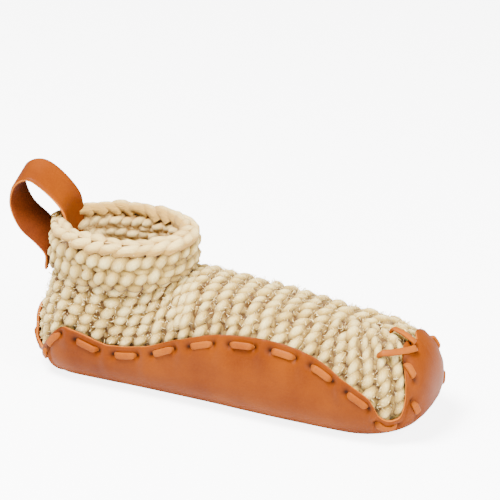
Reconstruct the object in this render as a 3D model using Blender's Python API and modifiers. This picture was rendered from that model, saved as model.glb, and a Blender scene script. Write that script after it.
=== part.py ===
"""House slipper: a thick knitted sock in a laced leather sole, with a pull loop at the back of the collar.

The toe points along +X, the floor is Z = 0, and the origin is on the floor under the middle of the sole.
Every piece follows one form, the outside of the filled sock. The form is made of ribs, numbered from 0 at
the tip of the toe to RIBS at the back of the heel. A rib starts at its root on the sole's centre line, runs
out to the foot's outline, turns up round the side and ends at its head, on top of the foot or at the foot of
the collar. form_point() gives the place at a rib and a share of the way along it.
"""

import math

import bmesh
import bpy
from mathutils import Vector

# The last; places are measured from the back of the heel
SOLE_LENGTH = 0.256
BALL_WIDTH = 0.081
HEEL_WIDTH = 0.074
BALL_PLACE = 0.196
HEEL_PLACE = 0.038
INSTEP_HEIGHT = 0.074
TOE_BOX_HEIGHT = 0.058
TOE_TOP_PLACE = 0.226
SIDE_HEIGHT = 0.019
UNDER_TURN = 0.016
TOE_SPRING = 0.004
HEEL_SPRING = 0.003
TOE_BLUNTNESS = 2.9
HEEL_BLUNTNESS = 2.3

# The collar
COLLAR_LENGTH = 0.089
COLLAR_WIDTH = 0.066
COLLAR_BACK = 0.009
COLLAR_HEIGHT = 0.023
COLLAR_RIDGES = 3
COLLAR_RIDGE_DEPTH = 0.0018

# The knit
RIB_PITCH = 0.0098
KNIT_WALL = 0.0050
KNIT_TUCK = 0.004

# The leather, and the gap between pieces that touch
LEATHER = 0.0022
GAP = 0.0003

# The thong and its running stitch
THONG_WIDTH = 0.0034
THONG_THICKNESS = 0.0014
STITCHES = 12
STITCH_LENGTH = 0.0135
STITCH_INSET = 0.0052
STITCH_STEPS = 3
LACE_START = 0.106
LACE_END = 0.949
LACE_STEPS = 120

# The V of thong at the tip of the toe flap
TOE_STITCH_STEPS = 5

# The pull loop: its strap, how far it reaches behind the collar, and its height over the rim
LOOP_WIDTH = 0.022
LOOP_LEATHER = 0.0022
LOOP_REACH = 0.0275
LOOP_HEIGHT = 0.022
LOOP_STEPS = 30
LOOP_STRIPS = 4

# The insole
INSOLE = 0.0040

# The mesh
OUTLINE_STEPS = 60
FOOT_COLUMNS = 30
COLLAR_COLUMNS = 18
EDGE_ROWS = 4
BARE_ROWS = 5
CREASE = 50.0
NEAR = 1e-5
RIB_STEP = 0.05
SHARE_STEP = 0.01

SKIN = LEATHER + GAP
HEEL_X = -SOLE_LENGTH / 2 + SKIN
TIP_X = SOLE_LENGTH / 2 - SKIN
BALL_X = BALL_PLACE - SOLE_LENGTH / 2
HEEL_FAN_X = HEEL_PLACE - SOLE_LENGTH / 2
TOE_TOP_X = TOE_TOP_PLACE - SOLE_LENGTH / 2
COLLAR_X = HEEL_X + COLLAR_BACK + COLLAR_LENGTH / 2
COLLAR_FRONT_X = COLLAR_X + COLLAR_LENGTH / 2

# How far the ribs' roots spread along the centre line, as shares of the toe and of the heel
TOE_ROOTS = 0.40
HEEL_ROOTS = 0.05

# Roundness of the instep's section (1 is an ellipse), and the ribs over which it turns upright at the ankle
INSTEP_BOXINESS = 0.87
ANKLE_RIBS = 6.0

# Half width between heel and ball: share of the way, share of the step from heel to ball
WAIST_TABLE = (
    (0.00, 0.00),
    (0.30, 0.02),
    (0.55, 0.36),
    (0.80, 0.86),
    (1.00, 1.00),
)

# Height on top of the foot: share of the way from the toe's top to the collar, share of the rise
CROWN_TABLE = (
    (0.00, 0.00),
    (0.25, 0.34),
    (0.50, 0.62),
    (0.75, 0.82),
    (1.00, 1.00),
)

# The mesh's columns on the foot, closest where the toe flap ends: share of the columns, share of the ribs
COLUMN_TABLE = (
    (0.00, 0.00),
    (0.12, 0.09),
    (0.36, 0.19),
    (0.62, 0.48),
    (1.00, 1.00),
)

# The leather's edge, from the tip of the toe to the back of the heel: share of the outline, share of the rib
EDGE_TABLE = (
    (0.000, 0.80),
    (0.042, 0.81),
    (0.070, 0.77),
    (0.086, 0.68),
    (0.096, 0.46),
    (0.110, 0.41),
    (0.145, 0.43),
    (0.165, 0.50),
    (0.215, 0.58),
    (0.270, 0.65),
    (0.340, 0.68),
    (0.420, 0.67),
    (0.500, 0.635),
    (0.570, 0.58),
    (0.640, 0.54),
    (0.735, 0.54),
    (0.800, 0.59),
    (0.835, 0.61),
    (0.855, 0.56),
    (0.875, 0.46),
    (0.910, 0.41),
    (0.940, 0.47),
    (0.965, 0.56),
    (1.000, 0.58),
)

# The two legs of the V, each from the flap's hole to the knit: rib and share of the rib at both ends
TOE_STITCHES = (
    (1.25, 0.74, 4.25, 0.74),
    (1.00, 0.775, 1.50, 0.94),
)

# Bars of thong on the toe flap: rib and share of the rib at both ends
FLAP_STITCHES = (
    (2.45, 0.670, 2.20, 0.585),
    (2.40, 0.455, 1.95, 0.415),
)

# The pull loop's strap from its inner end to its outer end: share of its length, place behind the collar's
# wall as a share of LOOP_REACH, place over the rim as a share of LOOP_HEIGHT, how its width is turned out of
# level and away from square, in degrees, and how much of the collar's curve it takes
LOOP_TABLE = (
    (0.00, -0.275, -1.15, 0.0, 0.0, 1.0),
    (0.10, -0.280, -0.60, 0.0, 0.0, 1.0),
    (0.19, -0.285, -0.06, 1.0, 1.0, 1.0),
    (0.26, -0.200, 0.34, 4.0, 8.0, 0.6),
    (0.36, 0.150, 0.80, 10.0, 10.0, 0.0),
    (0.46, 0.530, 1.00, 16.0, 4.0, 0.0),
    (0.56, 0.890, 0.78, 24.0, 0.0, 0.0),
    (0.64, 1.000, 0.26, 30.0, 0.0, 0.0),
    (0.73, 0.810, -0.32, 35.0, 0.0, 0.1),
    (0.84, 0.415, -0.74, 36.0, 0.0, 0.6),
    (0.92, 0.215, -1.04, 34.0, 0.0, 0.8),
    (1.00, 0.210, -1.45, 32.0, 0.0, 0.6),
)


def blend(low, high, share):
    return low + (high - low) * share


def ease(share):
    share = min(max(share, 0.0), 1.0)
    return share * share * (3.0 - 2.0 * share)


def read_table(rows, place, column=1):
    """Value of a column at a place along a table whose first column rises, as a smooth curve."""
    last = len(rows) - 1
    place = min(max(place, rows[0][0]), rows[last][0])
    low = max(index for index in range(last) if rows[index][0] <= place)

    def slope(index):
        before = rows[max(index - 1, 0)]
        after = rows[min(index + 1, last)]
        return (after[column] - before[column]) / (after[0] - before[0])

    span = rows[low + 1][0] - rows[low][0]
    share = (place - rows[low][0]) / span
    bend = (slope(low) * (1.0 - share) - slope(low + 1) * share) * span * share * (1.0 - share)
    start = rows[low][column]
    end = rows[low + 1][column]
    return blend(start, end, ease(share)) + bend


def corner(angle, length, width, bluntness):
    """Point on a blunt quarter of an ellipse, from its end (0) to its side (a quarter turn)."""
    along = abs(math.cos(angle)) ** (2.0 / bluntness)
    across = abs(math.sin(angle)) ** (2.0 / bluntness)
    return length * along, width * across


def trace_outline():
    """The sock's half outline at its widest, from the tip of the toe to the back of the heel."""
    parts = [step / OUTLINE_STEPS for step in range(OUTLINE_STEPS + 1)]
    points = []
    for part in parts:
        turn = math.pi / 2 * part
        along, across = corner(turn, TIP_X - BALL_X, BALL_WIDTH / 2 - SKIN, TOE_BLUNTNESS)
        points.append((BALL_X + along, across))
    for part in parts[-2:0:-1]:
        half = blend(HEEL_WIDTH, BALL_WIDTH, read_table(WAIST_TABLE, part)) / 2 - SKIN
        points.append((blend(HEEL_FAN_X, BALL_X, part), half))
    for part in reversed(parts):
        turn = math.pi / 2 * part
        along, across = corner(turn, HEEL_FAN_X - HEEL_X, HEEL_WIDTH / 2 - SKIN, HEEL_BLUNTNESS)
        points.append((HEEL_FAN_X - along, across))
    return points


def measure(points):
    """Running length along a row of points."""
    lengths = [0.0]
    for before, after in zip(points, points[1:]):
        lengths.append(lengths[-1] + math.dist(before, after))
    return lengths


OUTLINE = trace_outline()
OUTLINE_LENGTHS = measure(OUTLINE)
RIBS = round(OUTLINE_LENGTHS[-1] / RIB_PITCH)


def outline_point(rib):
    """Place on the outline where a rib crosses it; ribs are evenly spaced."""
    length = OUTLINE_LENGTHS[-1] * rib / RIBS
    low = 0
    while low < len(OUTLINE) - 2 and OUTLINE_LENGTHS[low + 1] < length:
        low += 1
    share = (length - OUTLINE_LENGTHS[low]) / (OUTLINE_LENGTHS[low + 1] - OUTLINE_LENGTHS[low])
    before = OUTLINE[low]
    after = OUTLINE[low + 1]
    return blend(before[0], after[0], share), blend(before[1], after[1], share)


def rib_at(place):
    """Rib that crosses the outline at a distance along X."""
    low = 0.0
    high = float(RIBS)
    for _ in range(40):
        middle = (low + high) / 2
        if outline_point(middle)[0] > place:
            low = middle
        else:
            high = middle
    return low


BALL_RIB = rib_at(BALL_X)
HEEL_RIB = rib_at(HEEL_FAN_X)
COLLAR_RIB = rib_at(COLLAR_FRONT_X)


def root(rib):
    """Place of a rib's root on the centre line of the sole."""
    if rib < BALL_RIB:
        return BALL_X + (TIP_X - BALL_X) * TOE_ROOTS * (1.0 - rib / BALL_RIB)
    if rib > HEEL_RIB:
        return HEEL_FAN_X + (HEEL_X - HEEL_FAN_X) * HEEL_ROOTS * (rib - HEEL_RIB) / (RIBS - HEEL_RIB)
    return outline_point(rib)[0]


def head(rib):
    """Place of a rib's upper end, on the centre line on top of the foot or round the foot of the collar."""
    if rib >= COLLAR_RIB:
        turn = math.pi * (rib - COLLAR_RIB) / (RIBS - COLLAR_RIB)
        along = COLLAR_X + COLLAR_LENGTH / 2 * math.cos(turn)
        return along, COLLAR_WIDTH / 2 * math.sin(turn), INSTEP_HEIGHT
    along = outline_point(rib)[0]
    if rib < BALL_RIB:
        along = blend(TOE_TOP_X, BALL_X, rib / BALL_RIB)
    share = (TOE_TOP_X - along) / (TOE_TOP_X - COLLAR_FRONT_X)
    return along, 0.0, blend(TOE_BOX_HEIGHT, INSTEP_HEIGHT, read_table(CROWN_TABLE, share))


def lift(place):
    """Rise of the underside at the toe and at the back of the heel."""
    toe = ease((place - BALL_X) / (TIP_X - BALL_X))
    heel = ease((HEEL_FAN_X - place) / (HEEL_FAN_X - HEEL_X))
    return TOE_SPRING * toe * toe + HEEL_SPRING * heel * heel


# Shares of a rib at the ends of its flat stretch and of its turn under the foot; LOW_ROW is a mesh row there
UNDER = 0.30
TURNED = 0.45
LOW_ROW = 0.4


def form_point(rib, share):
    """Place on the form at a share of the way along a rib, from its root (0) to its head (1)."""
    side = 1.0
    if rib < 0:
        rib = -rib
        side = -1.0
    if rib > RIBS:
        rib = 2 * RIBS - rib
        side = -1.0
    out_x, out_y = outline_point(rib)
    root_x = root(rib)
    turn = UNDER_TURN / math.hypot(out_x - root_x, out_y)
    if share <= TURNED:
        angle = math.pi / 2 * max(share - UNDER, 0.0) / (TURNED - UNDER)
        out = (1.0 - turn) * min(share / UNDER, 1.0) + turn * math.sin(angle)
        along = blend(root_x, out_x, out)
        place = (along, out_y * out, SKIN + lift(along) + SIDE_HEIGHT * (1.0 - math.cos(angle)))
    else:
        up = (share - TURNED) / (1.0 - TURNED)
        top_x, top_y, top_z = head(rib)
        low_z = SKIN + lift(out_x) + SIDE_HEIGHT
        over_in = 1.0 - math.cos(math.pi / 2 * up) ** INSTEP_BOXINESS
        over_up = math.sin(math.pi / 2 * up) ** INSTEP_BOXINESS
        upright = ease((rib - COLLAR_RIB + 1.0) / ANKLE_RIBS)
        inward = blend(over_in, ease(up), upright)
        upward = blend(over_up, up, upright)
        place = (blend(out_x, top_x, inward), blend(out_y, top_y, inward), blend(low_z, top_z, upward))
    return Vector((place[0], side * place[1], place[2]))


def outward(rib, share):
    """Direction straight out of the form, which stays in the middle plane on the centre line."""
    across = form_point(rib + RIB_STEP, share) - form_point(rib - RIB_STEP, share)
    along = form_point(rib, min(share + SHARE_STEP, 1.0)) - form_point(rib, max(share - SHARE_STEP, 0.0))
    normal = across.cross(along)
    if abs(form_point(rib, share).y) < NEAR:
        normal.y = 0.0
    if normal.length < NEAR * NEAR:
        return Vector((0.0, 0.0, 1.0 if share > TURNED else -1.0))
    return normal.normalized()


def over_form(rib, share, height):
    """Place at a height over the form."""
    return form_point(rib, share) + outward(rib, share) * height


def edge(rib):
    """Share of a rib that the leather covers."""
    return read_table(EDGE_TABLE, rib / RIBS)


def tuck(rib):
    """Share of a rib where the knit begins under the foot."""
    out_x, out_y = outline_point(rib)
    flat = math.hypot(out_x - root(rib), out_y) - UNDER_TURN
    return UNDER * (1.0 - KNIT_TUCK / flat)


def covered_rows(rib):
    """Shares of a rib's rows from the knit's lower edge to the leather's edge."""
    low = blend(UNDER, TURNED, LOW_ROW)
    top = edge(rib)
    return [tuck(rib), UNDER] + [blend(low, top, row / EDGE_ROWS) for row in range(EDGE_ROWS + 1)]


def bare_rows(rib):
    """Shares of a rib's rows from the leather's edge to the head, without the first."""
    top = edge(rib)
    return [blend(top, 1.0, row / BARE_ROWS) for row in range(1, BARE_ROWS + 1)]


def columns():
    """Ribs of the mesh's columns; one of them meets the front of the collar."""
    front = [COLLAR_RIB * read_table(COLUMN_TABLE, step / FOOT_COLUMNS) for step in range(FOOT_COLUMNS)]
    back = [blend(COLLAR_RIB, RIBS, step / COLLAR_COLUMNS) for step in range(COLLAR_COLUMNS + 1)]
    return front + back


def collar_out(rib):
    """Direction straight out of the collar."""
    turn = math.pi * (rib - COLLAR_RIB) / (RIBS - COLLAR_RIB)
    return Vector((math.cos(turn) / COLLAR_LENGTH, math.sin(turn) / COLLAR_WIDTH, 0.0)).normalized()


def collar_point(rib, share):
    """Place on the outside of the collar, whose garter ridges stand out from it."""
    ridge = COLLAR_RIDGE_DEPTH * (1.0 - math.cos(2.0 * math.pi * COLLAR_RIDGES * share)) / 2.0
    return Vector(head(rib)) + collar_out(rib) * ridge + Vector((0.0, 0.0, COLLAR_HEIGHT * share))


# The scene and the pieces


def clear_scene():
    for item in list(bpy.data.objects):
        bpy.data.objects.remove(item, do_unlink=True)


def material(name, colour, roughness):
    """Plain surface of one colour, given as an sRGB hex value."""
    linear = []
    for start in (0, 2, 4):
        value = int(colour[start:start + 2], 16) / 255
        linear.append(value / 12.92 if value <= 0.04045 else ((value + 0.055) / 1.055) ** 2.4)
    surface = bpy.data.materials.new(name)
    surface.use_nodes = True
    shader = surface.node_tree.nodes["Principled BSDF"]
    shader.inputs["Base Color"].default_value = (*linear, 1.0)
    shader.inputs["Roughness"].default_value = roughness
    return surface


def piece(name, points, faces, surface):
    """Object made from a grid's points and faces."""
    mesh = bpy.data.meshes.new(name)
    mesh.from_pydata(points, [], faces)
    cage = bmesh.new()
    cage.from_mesh(mesh)
    bmesh.ops.remove_doubles(cage, verts=cage.verts, dist=NEAR / 10)
    bmesh.ops.dissolve_degenerate(cage, edges=cage.edges, dist=NEAR / 10)
    cage.to_mesh(mesh)
    cage.free()
    mesh.materials.append(surface)
    item = bpy.data.objects.new(name, mesh)
    collection.objects.link(item)
    mesh.shade_smooth()
    mesh.set_sharp_from_angle(angle=math.radians(CREASE))
    return item


def in_middle(*corners):
    return all(abs(corner.y) < NEAR for corner in corners)


def grid(rows):
    """Points and triangles of a net of rows that run side by side; a short row ends early."""
    points = []
    faces = []
    starts = []
    for row in rows:
        starts.append(len(points))
        points.extend(row)
    for index in range(len(rows) - 1):
        for step in range(min(len(rows[index]), len(rows[index + 1])) - 1):
            low = starts[index] + step
            beside = starts[index + 1] + step
            cell = [points[place] for place in (low, beside, beside + 1, low + 1)]
            if in_middle(*cell[:3]) or in_middle(cell[0], *cell[2:]):
                faces.append((low, beside, low + 1))
                faces.append((beside, beside + 1, low + 1))
            else:
                faces.append((low, beside, beside + 1))
                faces.append((low, beside + 1, low + 1))
    return points, faces


def wall(name, outer, inner, surface):
    """Half of a wall between two nets of the same rows, closed along its edges, with its mirror image."""
    points, faces = grid(outer)
    inner_points, inner_faces = grid(inner)
    shift = len(points)
    faces += [tuple(shift + corner for corner in reversed(face)) for face in inner_faces]
    starts = []
    count = 0
    for row in outer:
        starts.append((count, count + len(row) - 1))
        count += len(row)
    points += inner_points
    for here, there in zip(starts, starts[1:]):
        for end, turn in ((0, -1), (1, 1)):
            rim = [here[end], there[end], shift + there[end], shift + here[end]]
            if not in_middle(*(points[corner] for corner in rim)):
                faces += [tuple(rim[:3][::turn]), tuple([rim[0], rim[2], rim[3]][::turn])]
    item = piece(name, points, faces, surface)
    mirror(item)


def mirror(item):
    change = item.modifiers.new("Other side", "MIRROR")
    change.use_axis = (False, True, False)
    change.merge_threshold = NEAR


def thicken(item, thickness, side):
    """Make a wall: side is 1 to grow out of the surface and -1 to grow into it."""
    change = item.modifiers.new("Wall", "SOLIDIFY")
    change.thickness = thickness
    change.offset = side
    change.use_even_offset = True


def on_mirror_plane(point):
    return Vector((point.x, 0.0, point.z)) if abs(point.y) < NEAR else point


def make_upper():
    """The sock: one wall from its edge under the foot to the rim of the collar."""
    outer = []
    inner = []
    for rib in columns():
        shares = covered_rows(rib) + bare_rows(rib)
        out_row = [form_point(rib, share) for share in shares]
        in_row = [over_form(rib, share, -KNIT_WALL) for share in shares]
        if rib >= COLLAR_RIB:
            out = collar_out(rib)
            below = outward(rib, 1.0)
            in_row[-1] = out_row[-1] - (out + below) * KNIT_WALL / (1.0 + out.dot(below))
            for step in range(1, 2 * COLLAR_RIDGES + 1):
                place = collar_point(rib, step / (2 * COLLAR_RIDGES))
                out_row.append(place)
                in_row.append(place - out * KNIT_WALL)
        outer.append([on_mirror_plane(point) for point in out_row])
        inner.append([on_mirror_plane(point) for point in in_row])
    wall("upper", outer, inner, material("Wool", "E6DCC0", 0.95))


def make_sole():
    """The leather: one sheet under the foot and up its sides to a wavy edge."""
    outer = []
    inner = []
    for rib in columns():
        shares = [0.0] + covered_rows(rib)
        outer.append([on_mirror_plane(over_form(rib, share, SKIN)) for share in shares])
        inner.append([on_mirror_plane(over_form(rib, share, GAP)) for share in shares])
    wall("sole", outer, inner, material("Leather", "CD8750", 0.60))


def make_insole():
    """The felt that lies inside the knit's lower edge."""
    lower = []
    upper = []
    for rib in columns():
        shares = (0.0, tuck(rib) - UNDER * 2.0 * GAP / UNDER_TURN)
        row = [on_mirror_plane(form_point(rib, share)) for share in shares]
        lower.append(row)
        upper.append([point + Vector((0.0, 0.0, INSOLE)) for point in row])
    wall("insole", lower, upper, material("Felt", "BFB49A", 0.95))


def stitch_line():
    """Ribs, shares and running lengths along the line of holes, from the toe's corner to the heel."""
    ribs = [blend(LACE_START, LACE_END, step / LACE_STEPS) * RIBS for step in range(LACE_STEPS + 1)]
    line = []
    for rib in ribs:
        share = edge(rib)
        rise = (form_point(rib, share) - form_point(rib, share - SHARE_STEP)).length / SHARE_STEP
        line.append((rib, share - STITCH_INSET / rise))
    places = [over_form(rib, share, SKIN) for rib, share in line]
    return line, measure(places)


def along_line(line, lengths, length):
    """Rib and share at a running length."""
    low = 0
    while low < len(line) - 2 and lengths[low + 1] < length:
        low += 1
    part = (length - lengths[low]) / (lengths[low + 1] - lengths[low])
    return [blend(before, after, part) for before, after in zip(line[low], line[low + 1])]


def strap(name, places, widths, width, thickness, side, surface):
    """Flat strip along a row of places; widths holds the direction across it at each of them."""
    rows = []
    for place, across in zip(places, widths):
        rows.append([place - across * width / 2, place, place + across * width / 2])
    item = piece(name, *grid(rows), surface)
    thicken(item, thickness, side)


def make_bar(name, ribs, shares, side, surface):
    """A stretch of thong that lies on the leather; side is 1 for the far side and -1 for the near side."""
    places = [over_form(rib, share, SKIN + GAP) for rib, share in zip(ribs, shares)]
    widths = []
    for index, (rib, share) in enumerate(zip(ribs, shares)):
        forward = places[min(index + 1, len(places) - 1)] - places[max(index - 1, 0)]
        widths.append(outward(rib, share).cross(forward).normalized() * side)
    turned = Vector((1.0, side, 1.0))
    strap(
        name,
        [place * turned for place in places],
        [across * turned for across in widths],
        THONG_WIDTH,
        THONG_THICKNESS,
        1.0,
        surface,
    )


def make_lace():
    """The running stitch: each stretch of thong that lies on the outside is a bar of its own."""
    surface = material("Thong", "B9713F", 0.55)
    line, lengths = stitch_line()
    pitch = (lengths[-1] - STITCH_LENGTH) / (STITCHES - 1)
    stitches = []
    for index in range(STITCHES):
        steps = [index * pitch + STITCH_LENGTH * step / STITCH_STEPS for step in range(STITCH_STEPS + 1)]
        stitches.append([along_line(line, lengths, length) for length in steps])
    parts = [step / STITCH_STEPS for step in range(STITCH_STEPS + 1)]
    for low_rib, low_share, high_rib, high_share in FLAP_STITCHES:
        ribs = [blend(low_rib, high_rib, part) for part in parts]
        shares = [blend(low_share, high_share, part) for part in parts]
        stitches.append(list(zip(ribs, shares)))
    for side, word in ((1.0, "far"), (-1.0, "near")):
        for number, stitch in enumerate(stitches, start=1):
            make_bar(f"lace_{word}_{number}", *zip(*stitch), side, surface)


def make_toe_stitch():
    """The V of thong that ties the tip of the toe flap to the knit."""
    surface = material("Toe thong", "B9713F", 0.55)
    for number, (low_rib, low_share, high_rib, high_share) in enumerate(TOE_STITCHES, start=1):
        places = []
        normals = []
        for step in range(TOE_STITCH_STEPS + 1):
            part = step / TOE_STITCH_STEPS
            rib = blend(low_rib, high_rib, part)
            share = blend(low_share, high_share, part)
            height = GAP + SKIN * (1.0 - ease(2.0 * part - 1.0))
            place = over_form(rib, share, height)
            normal = outward(rib, share)
            places.append(Vector((place.x, -place.y, place.z)))
            normals.append(Vector((normal.x, -normal.y, normal.z)))
        forward = places[-1] - places[0]
        widths = [normal.cross(forward).normalized() for normal in normals]
        strap(f"toe_stitch_{number}", places, widths, THONG_WIDTH, THONG_THICKNESS, 1.0, surface)


def hollow(across, inset):
    """How far the collar's wall curves forward at a distance from its middle."""
    half = COLLAR_WIDTH / 2 - inset
    return (COLLAR_LENGTH / 2 - inset) * (1.0 - math.sqrt(1.0 - (across / half) ** 2))


def make_pull_loop():
    """The strap at the back of the collar, with one end inside the knit and one outside."""
    back = COLLAR_X - COLLAR_LENGTH / 2
    rim = INSTEP_HEIGHT + COLLAR_HEIGHT
    rows = []
    for step in range(LOOP_STEPS + 1):
        part = step / LOOP_STEPS
        reach, over, roll, yaw, bow = [read_table(LOOP_TABLE, part, column) for column in range(1, 6)]
        roll = math.radians(roll)
        yaw = math.radians(yaw)
        middle = Vector((back - reach * LOOP_REACH, 0.0, rim + over * LOOP_HEIGHT))
        across = Vector((math.sin(yaw) * math.cos(roll), math.cos(yaw) * math.cos(roll), math.sin(roll)))
        row = []
        for strip in range(LOOP_STRIPS + 1):
            point = middle + across * LOOP_WIDTH * (strip / LOOP_STRIPS - 0.5)
            inset = KNIT_WALL if part < 0.5 else 0.0
            point.x += bow * hollow(point.y, inset)
            row.append(point)
        rows.append(row)
    item = piece("pull_loop", *grid(rows), material("Strap", "CF8851", 0.55))
    thicken(item, LOOP_LEATHER, 0.0)


clear_scene()
collection = bpy.data.collections.new("House slipper")
bpy.context.scene.collection.children.link(collection)
make_upper()
make_sole()
make_insole()
make_lace()
make_toe_stitch()
make_pull_loop()
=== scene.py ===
"""House slipper: knitted wool, laced leather, thong and felt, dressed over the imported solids.

Metres, toe along +X, floor at Z = 0. The far side in the view is +Y.
"""

import math

import bmesh
import bpy
import numpy as np
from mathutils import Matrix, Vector


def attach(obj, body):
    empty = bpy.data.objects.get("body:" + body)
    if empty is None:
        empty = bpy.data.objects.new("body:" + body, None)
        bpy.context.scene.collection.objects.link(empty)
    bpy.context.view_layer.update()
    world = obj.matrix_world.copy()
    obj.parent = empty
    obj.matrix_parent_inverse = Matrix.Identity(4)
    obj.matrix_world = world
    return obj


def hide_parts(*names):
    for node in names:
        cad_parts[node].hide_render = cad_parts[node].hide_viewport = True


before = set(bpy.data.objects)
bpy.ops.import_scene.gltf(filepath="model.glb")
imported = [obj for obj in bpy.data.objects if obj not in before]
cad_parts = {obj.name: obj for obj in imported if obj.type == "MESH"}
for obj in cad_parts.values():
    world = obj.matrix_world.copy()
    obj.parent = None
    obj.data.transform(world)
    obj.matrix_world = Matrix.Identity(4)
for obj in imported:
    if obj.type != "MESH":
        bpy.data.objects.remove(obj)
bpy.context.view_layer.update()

# The last. Knit, leather and thong all follow the outside of the filled sock, which is drawn with ribs.
# A rib runs from the middle of the sole out to the foot's outline, up the side and to the top of the foot or
# the foot of the collar. Ribs are counted all round: up the far side to the heel, and back on the near.
SOLE_LENGTH = 0.256
BALL_WIDTH = 0.081
HEEL_WIDTH = 0.074
BALL_PLACE = 0.196
HEEL_PLACE = 0.038
TOE_TOP_PLACE = 0.226
INSTEP_HEIGHT = 0.074
TOE_BOX_HEIGHT = 0.058
SIDE_HEIGHT = 0.019
UNDER_TURN = 0.016
TOE_SPRING = 0.004
HEEL_SPRING = 0.003
TOE_BLUNTNESS = 2.9
HEEL_BLUNTNESS = 2.3
TOE_ROOTS = 0.40
HEEL_ROOTS = 0.05
INSTEP_BOXINESS = 0.87
ANKLE_RIBS = 6.0
RIB_PITCH = 0.0098
LEATHER = 0.0022
GAP = 0.0003
SKIN = LEATHER + GAP
OUTLINE_STEPS = 60
UNDER = 0.30
TURNED = 0.45
SHARE_STEP = 0.01
RIB_STEP = 0.05

# The collar, an upright oval on the back half of the foot
COLLAR_LENGTH = 0.089
COLLAR_WIDTH = 0.066
COLLAR_BACK = 0.009
COLLAR_HEIGHT = 0.023
RIM = INSTEP_HEIGHT + COLLAR_HEIGHT

HEEL_X = -SOLE_LENGTH / 2 + SKIN
TIP_X = SOLE_LENGTH / 2 - SKIN
BALL_X = BALL_PLACE - SOLE_LENGTH / 2
HEEL_FAN_X = HEEL_PLACE - SOLE_LENGTH / 2
TOE_TOP_X = TOE_TOP_PLACE - SOLE_LENGTH / 2
COLLAR_X = HEEL_X + COLLAR_BACK + COLLAR_LENGTH / 2
COLLAR_FRONT_X = COLLAR_X + COLLAR_LENGTH / 2
NEAR = 1e-6

# Half width between heel and ball: share of the way, share of the step from heel to ball
WAIST_TABLE = ((0.00, 0.00), (0.30, 0.02), (0.55, 0.36), (0.80, 0.86), (1.00, 1.00))

# Height on top of the foot: share of the way from the toe's top to the collar, share of the rise
CROWN_TABLE = ((0.00, 0.00), (0.25, 0.34), (0.50, 0.62), (0.75, 0.82), (1.00, 1.00))

# The leather's edge from the tip of the toe to the back of the heel: share of the outline, share of the rib
EDGE_TABLE = (
    (0.000, 0.80), (0.042, 0.81), (0.070, 0.77), (0.086, 0.68), (0.096, 0.46), (0.110, 0.41),
    (0.145, 0.43), (0.165, 0.50), (0.215, 0.58), (0.270, 0.65), (0.340, 0.68), (0.420, 0.67),
    (0.500, 0.635), (0.570, 0.58), (0.640, 0.54), (0.735, 0.54), (0.800, 0.59), (0.835, 0.61),
    (0.855, 0.56), (0.875, 0.46), (0.910, 0.41), (0.940, 0.47), (0.965, 0.56), (1.000, 0.58),
)


def blend(low, high, share):
    return low + (high - low) * share


def ease(share):
    share = np.clip(share, 0.0, 1.0)
    return share * share * (3.0 - 2.0 * share)


def read_table(rows, place, column=1):
    """Values of a column at places along a table whose first column rises, on a smooth curve."""
    rows = np.array(rows)
    keys = rows[:, 0]
    values = rows[:, column]
    last = len(keys) - 1
    place = np.clip(place, keys[0], keys[-1])
    low = np.clip(np.searchsorted(keys, place, side="right") - 1, 0, last - 1)
    before = np.maximum(np.arange(last + 1) - 1, 0)
    after = np.minimum(np.arange(last + 1) + 1, last)
    slopes = (values[after] - values[before]) / (keys[after] - keys[before])
    span = keys[low + 1] - keys[low]
    share = (place - keys[low]) / span
    bend = (slopes[low] * (1.0 - share) - slopes[low + 1] * share) * span * share * (1.0 - share)
    return blend(values[low], values[low + 1], ease(share)) + bend


def trace_outline():
    """Half of the foot's outline, from the tip of the toe to the back of the heel."""
    parts = np.arange(OUTLINE_STEPS + 1) / OUTLINE_STEPS
    turn = math.pi / 2 * parts
    toe_x = BALL_X + (TIP_X - BALL_X) * np.abs(np.cos(turn)) ** (2.0 / TOE_BLUNTNESS)
    toe_y = (BALL_WIDTH / 2 - SKIN) * np.sin(turn) ** (2.0 / TOE_BLUNTNESS)
    way = parts[-2:0:-1]
    waist_y = blend(HEEL_WIDTH, BALL_WIDTH, read_table(WAIST_TABLE, way)) / 2 - SKIN
    heel_x = HEEL_FAN_X - (HEEL_FAN_X - HEEL_X) * np.abs(np.cos(turn[::-1])) ** (2.0 / HEEL_BLUNTNESS)
    heel_y = (HEEL_WIDTH / 2 - SKIN) * np.sin(turn[::-1]) ** (2.0 / HEEL_BLUNTNESS)
    along = np.concatenate([toe_x, blend(HEEL_FAN_X, BALL_X, way), heel_x])
    across = np.concatenate([toe_y, waist_y, heel_y])
    return along, across


OUTLINE_X, OUTLINE_Y = trace_outline()
OUTLINE_WAY = np.concatenate([[0.0], np.cumsum(np.hypot(np.diff(OUTLINE_X), np.diff(OUTLINE_Y)))])
RIBS = round(OUTLINE_WAY[-1] / RIB_PITCH)
ROUND = 2 * RIBS
BALL_RIB = float(np.interp(-BALL_X, -OUTLINE_X, OUTLINE_WAY)) / OUTLINE_WAY[-1] * RIBS
HEEL_RIB = float(np.interp(-HEEL_FAN_X, -OUTLINE_X, OUTLINE_WAY)) / OUTLINE_WAY[-1] * RIBS
COLLAR_RIB = float(np.interp(-COLLAR_FRONT_X, -OUTLINE_X, OUTLINE_WAY)) / OUTLINE_WAY[-1] * RIBS


def one_side(rib):
    """A rib counted round as a rib of the far side, and the side that it lies on."""
    rib = np.mod(np.asarray(rib, dtype=float), ROUND)
    return np.where(rib > RIBS, ROUND - rib, rib), np.where(rib > RIBS, -1.0, 1.0)


def outline(rib):
    way = rib / RIBS * OUTLINE_WAY[-1]
    return np.interp(way, OUTLINE_WAY, OUTLINE_X), np.interp(way, OUTLINE_WAY, OUTLINE_Y)


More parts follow.
